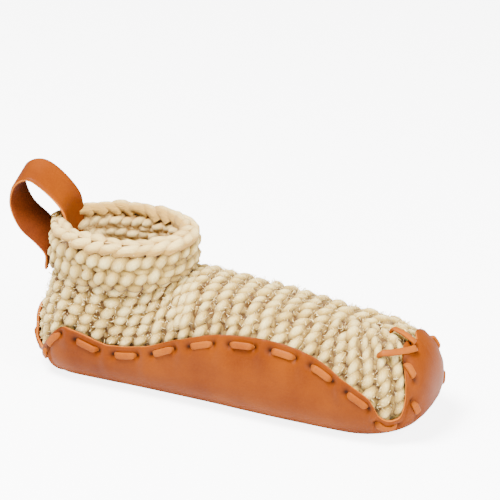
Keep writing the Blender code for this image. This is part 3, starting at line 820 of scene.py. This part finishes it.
# Loose fibres. Hand-spun wool sheds a halo of short hairs that stand up off the yarn and bend over. Real ones
# are too fine to show here: the lumps that end_group gives swell these to a few tenths of a millimetre.
FIBRES_PER_M2 = 150000.0
FIBRE_LENGTH = 0.0026
FIBRE_THICKNESS = 0.00002
FIBRE_DEPTH = 0.0006
FIBRE_TILT = 0.9
SHORT_FIBRE = 0.35
LONG_FIBRE = 1.30


def fibre_group():
    """Tree that grows short bent hairs on a surface."""
    tree, given, taken = node_group("Wool fibres", ("Hairs per square metre", "Hair length"))
    spots = add_node(tree, "GeometryNodeDistributePointsOnFaces", {
        "Mesh": given.outputs["Geometry"],
        "Density": given.outputs["Hairs per square metre"],
        "Seed": 5,
    })
    bend = add_node(tree, "GeometryNodeCurveQuadraticBezier", {
        "Resolution": 3,
        "Start": (0.0, 0.0, -0.15),
        "Middle": (0.05, 0.0, 0.50),
        "End": (0.62, 0.0, 0.72),
    })
    size = add_node(tree, "ShaderNodeCombineXYZ", {axis: given.outputs["Hair length"] for axis in "XYZ"})
    hair = add_node(tree, "GeometryNodeTransform", {"Geometry": bend.outputs[0], "Scale": size.outputs[0]})
    ring = add_node(tree, "GeometryNodeCurvePrimitiveCircle", {
        "Resolution": 3,
        "Radius": FIBRE_THICKNESS / 2,
    })
    tube = add_node(tree, "GeometryNodeCurveToMesh", {
        "Curve": hair.outputs[0],
        "Profile Curve": ring.outputs[0],
        "Fill Caps": True,
    })
    spin = add_node(tree, "FunctionNodeRandomValue", {"Seed": 6}, data_type="FLOAT_VECTOR")
    spin.inputs[0].default_value = (-FIBRE_TILT, -FIBRE_TILT, -math.pi)
    spin.inputs[1].default_value = (FIBRE_TILT, FIBRE_TILT, math.pi)
    turned = add_node(tree, "FunctionNodeRotateRotation", {
        "Rotation": spots.outputs["Rotation"],
        "Rotate By": spin.outputs[0],
    }, rotation_space="LOCAL")
    long = add_node(tree, "FunctionNodeRandomValue", {"Seed": 7}, data_type="FLOAT")
    long.inputs[2].default_value = SHORT_FIBRE
    long.inputs[3].default_value = LONG_FIBRE
    grown = add_node(tree, "GeometryNodeInstanceOnPoints", {
        "Points": spots.outputs["Points"],
        "Instance": tube.outputs[0],
        "Rotation": turned.outputs[0],
        "Scale": long.outputs[1],
    })
    end_group(tree, given, taken, grown.outputs[0])
    return tree


def fibre_ground():
    """The outside of the knit that the hairs stand on."""
    rows = wall_net(FIBRE_DEPTH, bare=True)
    points, faces, sides = sheet_net(rows, rows)
    outside = [face for face, side in zip(faces, sides) if side == 0]
    return mesh_object("fibre_ground", points[:len(points) // 2], outside)


fibre, _, fibre_shader = new_material("Loose wool fibre")
fibre_shader.inputs["Base Color"].default_value = linear("E8CE90")
fibre_shader.inputs["Roughness"].default_value = 0.9
FIBRE_SIZES = {"Hairs per square metre": FIBRES_PER_M2, "Hair length": FIBRE_LENGTH}
fibres = make_from(fibre_ground(), fibre_group(), "wool_fibres", FIBRE_SIZES, fibre)
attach(fibres, "root")
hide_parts("upper")

# The sole. One piece of vegetable-tanned leather 2.2 mm thick, cut to a wavy outline, wetted and turned up
# round the knit by hand. It is drawn in a little at each hole of the stitch and swells between them.
LEATHER_COLUMNS = 720
LEATHER_LOW_ROWS = 9
LEATHER_HIGH_ROWS = 32
THONG_THICKNESS = 0.0014
STITCHES = 12
STITCH_LENGTH = 0.0135
STITCH_INSET = 0.0052
LACE_START = 0.106
LACE_END = 0.949
TOE_STITCHES = ((1.25, 0.74, 4.25, 0.74), (1.00, 0.775, 1.50, 0.94))
FLAP_STITCHES = ((2.45, 0.670, 2.20, 0.585), (2.40, 0.455, 1.95, 0.415))
HOLE_PULL = 0.0017
HOLE_BEYOND = 0.0014
HOLE_REACH = 0.0026
SWELL = 0.0014
# Reach of the darkening round each hole: partly burnish, partly painted shade in the open slot
HOLE_BURNISH_AND_SHADE = 0.0016
SWELL_REACH = 0.008
WAVER = 0.0008
WAVER_TURNS = (95.0, 60.0, 41.0)
WAVER_START = 1.3
WAVER_RISE = 0.08
CUT_ROUND = 0.0008
CUT_EDGE = 0.55
EDGE_CROWDING = 1.8
BAR_STEPS = 25

lace_ribs = np.linspace(LACE_START, LACE_END, PATH_STEPS) * RIBS
lace_shares = edge(lace_ribs) - STITCH_INSET / rise(lace_ribs, edge(lace_ribs))
lace_places = over_last(lace_ribs, lace_shares, np.full(PATH_STEPS, SKIN))
lace_way = way_along(lace_places)
lace_pitch = (lace_way[-1] - STITCH_LENGTH) / (STITCHES - 1)


def bars_of_thong():
    """Rib and share along each stretch of thong that shows on one side, from the toe flap to the heel."""
    part = np.linspace(0.0, 1.0, BAR_STEPS)
    bars = [(blend(a, c, part), blend(b, d, part)) for a, b, c, d in FLAP_STITCHES]
    for index in range(STITCHES):
        way = index * lace_pitch + STITCH_LENGTH * part
        bars.append((np.interp(way, lace_way, lace_ribs), np.interp(way, lace_way, lace_shares)))
    return bars


BARS = bars_of_thong()
hole_ends = [(bar[0][end], bar[1][end]) for bar in BARS for end in (0, -1)]
hole_ends += [(ROUND - rib, share) for rib, share in hole_ends]
hole_ends += [(ROUND - stitch[0], stitch[1]) for stitch in TOE_STITCHES]
hole_ribs, hole_shares = np.array(hole_ends).T
HOLES = over_last(hole_ribs, hole_shares, np.full(len(hole_ends), SKIN))
for first in range(0, 4 * len(BARS), 2):
    run = unit(HOLES[first + 1] - HOLES[first]) * HOLE_BEYOND
    HOLES[first] -= run
    HOLES[first + 1] += run


def leather_nets():
    """Both faces of the leather, and how near each of their points lies to a hole.

    It wavers gently, in dents some 65 and 150 mm long.
    """
    outer = []
    inner = []
    near = []
    for rib in np.arange(LEATHER_COLUMNS) / LEATHER_COLUMNS * ROUND:
        top = float(edge(rib))
        climb = np.linspace(0.0, 1.0, LEATHER_HIGH_ROWS + 1)[1:]
        high = UNDER + (top - UNDER) * (1.0 - (1.0 - climb) ** EDGE_CROWDING)
        shares = np.concatenate([np.linspace(0.0, UNDER, LEATHER_LOW_ROWS), high])
        ribs = np.full(len(shares), rib)
        below = (top - shares) * rise(ribs, np.full(len(shares), top))
        mid = over_last(ribs, shares, np.full(len(shares), SKIN))
        gone = np.sqrt(((mid[:, None, :] - HOLES[None, :, :]) ** 2).sum(axis=-1)).min(axis=1)
        far = float(one_side(rib)[0])
        phase = np.interp(far, lace_ribs, lace_way) % lace_pitch
        between = max(phase - STITCH_LENGTH, 0.0) / (lace_pitch - STITCH_LENGTH)
        laced = lace_ribs[0] < far < lace_ribs[-1]
        swell = SWELL * math.sin(math.pi * between) ** 2 * laced
        swell = swell * np.exp(-((below - STITCH_INSET) / SWELL_REACH) ** 2)
        pull = HOLE_PULL * np.exp(-(gone / HOLE_REACH) ** 2)
        quick, rising, slow = WAVER_TURNS
        waver = np.sin(mid[:, 0] * quick + mid[:, 2] * rising) * np.sin(mid[:, 0] * slow + WAVER_START)
        waver = WAVER * waver * np.clip((shares - TURNED) / WAVER_RISE, 0.0, 1.0)
        shift = swell - pull + waver
        bite = np.clip(below / CUT_ROUND, 0.0, 1.0)
        half = LEATHER / 2 * blend(CUT_EDGE, 1.0, np.sqrt(1.0 - (1.0 - bite) ** 2))
        centre = GAP + LEATHER / 2 + shift
        outer.append(over_last(ribs, shares, centre + half))
        inner.append(over_last(ribs, shares, np.maximum(centre - half, GAP * 0.5)))
        near.append(np.exp(-(gone / HOLE_BURNISH_AND_SHADE) ** 2))
    for rows in (outer, inner):
        for row in rows:
            row[np.abs(row[:, 1]) < NEAR, 1] = 0.0
    near = np.concatenate(near)
    return outer, inner, np.concatenate([near, near])


def leather_material(name, dark, light, rough, pores=0.35):
    """Vegetable-tanned leather: satin, cloudy where it took the tan, and nearly black round its holes, partly
    burnish and partly painted shade in the open slots.

    The clouds are 26 mm across, the specks 1.1 mm and the pores of the grain 0.7 mm.
    """
    surface, tree, shader = new_material(name)
    place = add_node(tree, "ShaderNodeTexCoord")
    spot = place.outputs["Object"]
    clouds = add_node(tree, "ShaderNodeTexNoise", {"Vector": spot, "Scale": 38.0, "Detail": 4.0})
    specks = add_node(tree, "ShaderNodeTexNoise", {"Vector": spot, "Scale": 900.0, "Detail": 2.0})
    cells = add_node(tree, "ShaderNodeTexVoronoi", {"Vector": spot, "Scale": 1400.0})
    mixed = add_node(tree, "ShaderNodeMath", {
        0: specks.outputs["Fac"],
        1: 0.25,
        2: clouds.outputs["Fac"],
    }, operation="MULTIPLY_ADD")
    tone = add_node(tree, "ShaderNodeValToRGB", {"Fac": mixed.outputs[0]})
    tone.color_ramp.elements[0].color = linear(dark)
    tone.color_ramp.elements[0].position = 0.38
    tone.color_ramp.elements[1].color = linear(light)
    tone.color_ramp.elements[1].position = 0.82
    # Nearly black round the holes: partly burnish, partly painted shade where the slot opens
    hole = add_node(tree, "ShaderNodeAttribute", attribute_name="hole")
    burnish_and_slot_shade = add_node(tree, "ShaderNodeMix", {
        "Factor": hole.outputs["Fac"],
        "A": tone.outputs["Color"],
        "B": linear("1E0A03"),
    }, data_type="RGBA")
    grain = add_node(tree, "ShaderNodeMath", {
        0: cells.outputs["Distance"],
        1: 0.6,
        2: specks.outputs["Fac"],
    }, operation="MULTIPLY_ADD")
    bump = add_node(tree, "ShaderNodeBump", {
        "Height": grain.outputs[0],
        "Strength": pores,
        "Distance": 0.0002,
    })
    tree.links.new(burnish_and_slot_shade.outputs["Result"], shader.inputs["Base Color"])
    tree.links.new(bump.outputs["Normal"], shader.inputs["Normal"])
    shader.inputs["Roughness"].default_value = rough
    shader.inputs["Specular IOR Level"].default_value = 0.07
    return surface


GRAIN = leather_material("Vegetable-tanned leather, grain side", "5A2402", "723402", 0.46)
FLESH = leather_material("Vegetable-tanned leather, flesh side", "481A04", "622A08", 0.85, 0.8)
CUT = leather_material("Vegetable-tanned leather, cut edge", "8A440E", "AE6420", 0.70, 0.6)
outer, inner, near_hole = leather_nets()
points, faces, groups = sheet_net(outer, inner)
leather_sole = mesh_object("leather_sole", points, faces, groups, [GRAIN, FLESH, CUT], {"hole": near_hole})
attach(leather_sole, "root")
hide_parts("sole")

# The insole. A loose sock of pressed felt that lies on the leather inside the knit. It is matted wool: no
# weave, only faint lumps and a nap, and it is cut with a plain edge.
INSOLE = 0.004
FELT_LUMP = 0.00025
FELT_TURNS = (310.0, 270.0)
FELT_COLUMNS = 180
FELT_ROWS = 12
FELT_CLEAR = UNDER * 2.0 * GAP / UNDER_TURN


def felt_material():
    """Pressed wool felt: matt, with a nap of 1 mm and faint lumps 11 mm across, soft at its edges."""
    surface, tree, shader = new_material("Pressed wool felt")
    place = add_node(tree, "ShaderNodeTexCoord")
    spot = place.outputs["Object"]
    nap = add_node(tree, "ShaderNodeTexNoise", {"Vector": spot, "Scale": 900.0, "Detail": 3.0})
    lumps = add_node(tree, "ShaderNodeTexNoise", {"Vector": spot, "Scale": 90.0, "Detail": 2.0})
    tone = add_node(tree, "ShaderNodeValToRGB", {"Fac": lumps.outputs["Fac"]})
    tone.color_ramp.elements[0].color = linear("8C7850")
    tone.color_ramp.elements[1].color = linear("B29E70")
    bump = add_node(tree, "ShaderNodeBump", {
        "Height": nap.outputs["Fac"],
        "Strength": 0.5,
        "Distance": 0.0003,
    })
    tree.links.new(tone.outputs["Color"], shader.inputs["Base Color"])
    tree.links.new(bump.outputs["Normal"], shader.inputs["Normal"])
    shader.inputs["Roughness"].default_value = 0.95
    shader.inputs["Sheen Weight"].default_value = 0.25
    return surface


felt_low = []
felt_high = []
for rib in np.arange(FELT_COLUMNS) / FELT_COLUMNS * ROUND:
    shares = np.linspace(0.0, float(tuck(rib)) - FELT_CLEAR, FELT_ROWS)
    row = last_at(np.full(FELT_ROWS, rib), shares)
    lumps = FELT_LUMP * np.sin(row[:, 0] * FELT_TURNS[0]) * np.sin(row[:, 1] * FELT_TURNS[1])
    felt_low.append(row)
    felt_high.append(row + np.stack([0 * lumps, 0 * lumps, INSOLE + lumps], axis=-1))
points, faces, groups = sheet_net(felt_low, felt_high)
insole = mesh_object("felt_insole", points, faces, groups=[0] * len(faces), materials=[felt_material()])
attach(insole, "root")
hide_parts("insole")

# The thong. A flat lace of the same leather, cut 3.4 mm wide and pressed out to 4.1 mm where it lies. It is
# drawn in and out through punched holes all round the edge, and dives through each into the knit.
THONG_PROFILE = 14
THONG_PLUMP = 0.0019
THONG_SPREAD = 0.0041
PINCH = 0.66
PINCH_EASE = 1.5
DIVE = 0.0022
FLAT_FACES = 0.5
FLAT_EDGES = 0.8
THONG_PRESS = 0.0002
THONG_LIFT = SKIN + THONG_THICKNESS / 2 - THONG_PRESS
THONG_IN = -0.0022
HIDDEN_STEPS = 14


def sweep(places, across, normal, profile, narrow):
    """Points and faces of a strap.

    It has rows of places, directions across it and out of it, its section, and its share of the section's
    width at each row.
    """
    count = len(profile)
    steps = len(places)
    points = [
        places[step] + across[step] * wide * narrow[step] + normal[step] * thick
        for step in range(steps)
        for wide, thick in profile
    ]
    faces = []
    for step in range(steps - 1):
        for corner in range(count):
            other = (corner + 1) % count
            low = step * count
            faces.append((low + corner, low + other, low + count + other, low + count + corner))
    faces.append(tuple(reversed(range(count))))
    faces.append(tuple((steps - 1) * count + corner for corner in range(count)))
    return points, faces


def thong_section():
    """A flat oblong with softened edges."""
    turn = 2.0 * math.pi * (np.arange(THONG_PROFILE) + 0.5) / THONG_PROFILE
    wide = np.sign(np.cos(turn)) * np.abs(np.cos(turn)) ** FLAT_FACES * THONG_SPREAD / 2
    thick = np.sign(np.sin(turn)) * np.abs(np.sin(turn)) ** FLAT_EDGES * THONG_PLUMP / 2
    return list(zip(wide, thick))


def thong_along(ribs, shares, heights, side):
    """A strap of thong over the last."""
    ribs = ribs if side > 0 else ROUND - ribs
    places = over_last(ribs, shares, heights)
    forward = unit(np.gradient(places, axis=0))
    out = outward(ribs, shares)
    across = unit(np.cross(out, forward))
    narrow = blend(PINCH, 1.0, np.clip((heights - GAP) / (THONG_LIFT - GAP), 0.0, 1.0) ** PINCH_EASE)
    return sweep(places, across, np.cross(forward, across), thong_section(), narrow)


def dive(ribs, shares, low, high):
    """Heights along a bar that comes up out of one hole and goes down into the next."""
    way = way_along(last_at(ribs, shares))
    reach = np.minimum(way, way[-1] - way) / DIVE
    return blend(low, high, np.sin(math.pi / 2 * np.clip(reach, 0.0, 1.0)))


def join_nets(nets):
    points = []
    faces = []
    for more, cells in nets:
        faces += [tuple(len(points) + corner for corner in cell) for cell in cells]
        points += list(more)
    return points, faces


def lace_net(side):
    """The whole running stitch of one side: the bars that show and the runs behind them."""
    ribs, shares, heights = [], [], []
    for index, (bar_ribs, bar_shares) in enumerate(BARS):
        if index:
            part = np.linspace(0.0, 1.0, HIDDEN_STEPS + 2)[1:-1]
            ribs.append(blend(ribs[-1][-1], bar_ribs[0], part))
            shares.append(blend(shares[-1][-1], bar_shares[0], part))
            heights.append(blend(GAP, THONG_IN, np.sin(math.pi * part)))
        ribs.append(bar_ribs)
        shares.append(bar_shares)
        heights.append(dive(bar_ribs, bar_shares, GAP, THONG_LIFT))
    return thong_along(np.concatenate(ribs), np.concatenate(shares), np.concatenate(heights), side)


THONG = leather_material("Leather thong", "743408", "8E4A0E", 0.50, 0.2)
points, faces = join_nets([lace_net(1), lace_net(-1)])
thong = mesh_object("thong", points, faces, materials=[THONG])
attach(thong, "root")
for side in ("far", "near"):
    for number in range(1, STITCHES + len(FLAP_STITCHES) + 1):
        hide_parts(f"lace_{side}_{number}")

# The V at the tip of the toe flap, of the same thong. It comes up through the flap twice and is carried over
# the edge on to the knit, where each leg goes down between two stitches.
KNIT_OVER = 0.0014
V_LIFT = 0.0010
V_STEPS = 34
V_ROOT = -0.004
V_FREE = 0.02
V_LAST_DIVE = 1.0 / 6.0
V_STEP_OFF = 0.8
toe_nets = []
for low_rib, low_share, high_rib, high_share in TOE_STITCHES:
    part = np.linspace(0.0, 1.0, V_STEPS)
    ribs = blend(low_rib, high_rib, part)
    shares = blend(low_share, high_share, part)
    level = V_LIFT + GAP + blend(SKIN, KNIT_OVER, ease(2.0 * part - V_STEP_OFF))
    heights = np.minimum(level, dive(ribs, shares, GAP, V_FREE))
    down = np.clip((1.0 - part) / V_LAST_DIVE, 0.0, 1.0)
    heights = blend(V_ROOT, heights, np.sin(math.pi / 2 * down))
    toe_nets.append(thong_along(ribs, shares, heights, -1))
points, faces = join_nets(toe_nets)
toe_v = mesh_object("toe_v", points, faces, materials=[THONG])
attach(toe_v, "root")
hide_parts("toe_stitch_1")
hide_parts("toe_stitch_2")

# The pull loop. A strap of the sole's leather, 22 mm wide, sewn in at the back of the collar with one end
# inside and one outside. It is bent over a finger, grain side out, and leans back and a little to one side.
KNIT_WALL = 0.0050
LOOP_WIDTH = 0.022
LOOP_LEATHER = 0.0022
LOOP_REACH = 0.0275
LOOP_HEIGHT = 0.022
LOOP_STEPS = 130
LOOP_CUTS = 16
EDGE_SOFT = 0.0006
LOOP_EDGE = 0.5

# Share of the strap's length, place behind the collar's wall as a share of LOOP_REACH, place over the rim as
# a share of LOOP_HEIGHT, how its width is turned out of level and away from square, in degrees, and how much
# of the collar's curve it takes
LOOP_TABLE = (
    (0.00, -0.275, -1.15, 0.0, 0.0, 1.0),
    (0.10, -0.280, -0.60, 0.0, 0.0, 1.0),
    (0.19, -0.285, -0.06, 1.0, 1.0, 1.0),
    (0.26, -0.200, 0.34, 4.0, 8.0, 0.6),
    (0.36, 0.150, 0.80, 10.0, 10.0, 0.0),
    (0.46, 0.530, 1.00, 16.0, 4.0, 0.0),
    (0.56, 0.890, 0.78, 24.0, 0.0, 0.0),
    (0.64, 1.000, 0.26, 30.0, 0.0, 0.0),
    (0.73, 0.810, -0.32, 35.0, 0.0, 0.1),
    (0.84, 0.415, -0.74, 36.0, 0.0, 0.6),
    (0.92, 0.215, -1.04, 34.0, 0.0, 0.8),
    (1.00, 0.210, -1.45, 32.0, 0.0, 0.6),
)


def loop_rows():
    """Middle surface of the strap, row by row from its inner end."""
    rows = []
    for part in np.linspace(0.0, 1.0, LOOP_STEPS):
        reach, over, roll, yaw, bow = [float(read_table(LOOP_TABLE, part, column)) for column in range(1, 6)]
        roll, yaw = math.radians(roll), math.radians(yaw)
        middle = np.array([HEEL_X + COLLAR_BACK - reach * LOOP_REACH, 0.0, RIM + over * LOOP_HEIGHT])
        across = np.array([math.sin(yaw) * math.cos(roll), math.cos(yaw) * math.cos(roll), math.sin(roll)])
        row = middle + across * LOOP_WIDTH * np.linspace(-0.5, 0.5, LOOP_CUTS + 1)[:, None]
        inset = KNIT_WALL if part < 0.5 else 0.0
        half = COLLAR_WIDTH / 2 - inset
        row[:, 0] += bow * (COLLAR_LENGTH / 2 - inset) * (1.0 - np.sqrt(1.0 - (row[:, 1] / half) ** 2))
        rows.append(row)
    return np.array(rows)


def loop_net():
    """Strap with a grain side, a flesh side and softened cut edges: points, faces, groups."""
    rows = loop_rows()
    normal = unit(np.cross(np.gradient(rows, axis=0), np.gradient(rows, axis=1)))
    place = LOOP_WIDTH / 2 - LOOP_WIDTH * np.abs(np.linspace(-0.5, 0.5, LOOP_CUTS + 1))
    bite = np.clip(place / EDGE_SOFT, 0.0, 1.0)
    half = LOOP_LEATHER / 2 * blend(LOOP_EDGE, 1.0, np.sqrt(1.0 - (1.0 - bite) ** 2))
    flesh = rows + normal * half[None, :, None]
    grain = rows - normal * half[None, :, None]
    count = LOOP_CUTS + 1
    shift = LOOP_STEPS * count
    points = np.concatenate([grain.reshape(-1, 3), flesh.reshape(-1, 3)])
    faces = []
    groups = []
    for step in range(LOOP_STEPS - 1):
        for cut in range(LOOP_CUTS):
            low = step * count + cut
            cell = (low, low + count, low + count + 1, low + 1)
            faces += [cell[::-1], tuple(shift + corner for corner in cell)]
            groups += [0, 1]
        for low, turn in ((step * count, 1), (step * count + LOOP_CUTS, -1)):
            faces.append((low, low + count, shift + low + count, shift + low)[::turn])
            groups.append(2)
    for start, turn in ((0, -1), ((LOOP_STEPS - 1) * count, 1)):
        for cut in range(LOOP_CUTS):
            low = start + cut
            faces.append((low, low + 1, shift + low + 1, shift + low)[::turn])
            groups.append(2)
    return points, faces, groups


points, faces, groups = loop_net()
pull_loop = mesh_object("pull_strap", points, faces, groups, [GRAIN, FLESH, CUT])
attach(pull_loop, "root")
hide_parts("pull_loop")

# The floor and the light. A white sweep in a soft light from above and the left, as for a catalogue.
# The paper glows for the camera alone, so that it is white in the picture and lights nothing.
FLOOR_GLOW = 5.0
WORLD_LIGHT = 0.42
MIDDLE = Vector((0.0, 0.0, 0.03))
floor_mesh = bpy.data.meshes.new("floor")
floor_mesh.from_pydata([(-3, -3, 0), (3, -3, 0), (3, 3, 0), (-3, 3, 0)], [], [(0, 1, 2, 3)])
floor = place_object("floor", floor_mesh)
paper, paper_tree, paper_shader = new_material("White paper")
paper_shader.inputs["Base Color"].default_value = linear("F7F7F7")
paper_shader.inputs["Roughness"].default_value = 0.9
paper_shader.inputs["Emission Color"].default_value = (1.0, 1.0, 1.0, 1.0)
seen = add_node(paper_tree, "ShaderNodeLightPath")
glow = add_node(paper_tree, "ShaderNodeMath", {
    0: seen.outputs["Is Camera Ray"],
    1: FLOOR_GLOW,
}, operation="MULTIPLY")
paper_tree.links.new(glow.outputs[0], paper_shader.inputs["Emission Strength"])
floor_mesh.materials.append(paper)

world = bpy.data.worlds.new("White studio")
world.use_nodes = True
sky = world.node_tree.nodes["Background"]
sky.inputs["Color"].default_value = (1.0, 1.0, 1.0, 1.0)
sky.inputs["Strength"].default_value = WORLD_LIGHT
bpy.context.scene.world = world


def soft_light(name, place, size, power):
    """Square lamp that faces the slipper."""
    lamp = bpy.data.lights.new(name, "AREA")
    lamp.size = size
    lamp.energy = power
    made = place_object(name, lamp)
    made.location = place
    made.rotation_euler = (Vector(place) - MIDDLE).to_track_quat("Z", "Y").to_euler()


soft_light("key_light", (-0.35, -0.42, 1.4), 0.6, 104.0)
soft_light("fill_light", (1.1, -0.4, 0.7), 1.0, 46.0)

# The camera, fitted to the photograph: seen from the near side, a little from the toe and from above
CAMERA_TURN = math.radians(24.5)
CAMERA_RISE = math.radians(25.7)
CAMERA_AWAY = 1.5
LENS = 181.4
AIM_RIGHT = 0.0093
AIM_UP = 0.0549

back = Vector((
    math.sin(CAMERA_TURN) * math.cos(CAMERA_RISE),
    -math.cos(CAMERA_TURN) * math.cos(CAMERA_RISE),
    math.sin(CAMERA_RISE),
))
right = Vector((math.cos(CAMERA_TURN), math.sin(CAMERA_TURN), 0.0))
camera_place = MIDDLE + back * CAMERA_AWAY
look_at = MIDDLE + right * AIM_RIGHT + back.cross(right) * AIM_UP
lens = bpy.data.cameras.new("camera")
lens.lens = LENS
camera = place_object("camera", lens)
camera.location = camera_place
camera.rotation_euler = (camera_place - look_at).to_track_quat("Z", "Y").to_euler()
bpy.context.scene.camera = camera
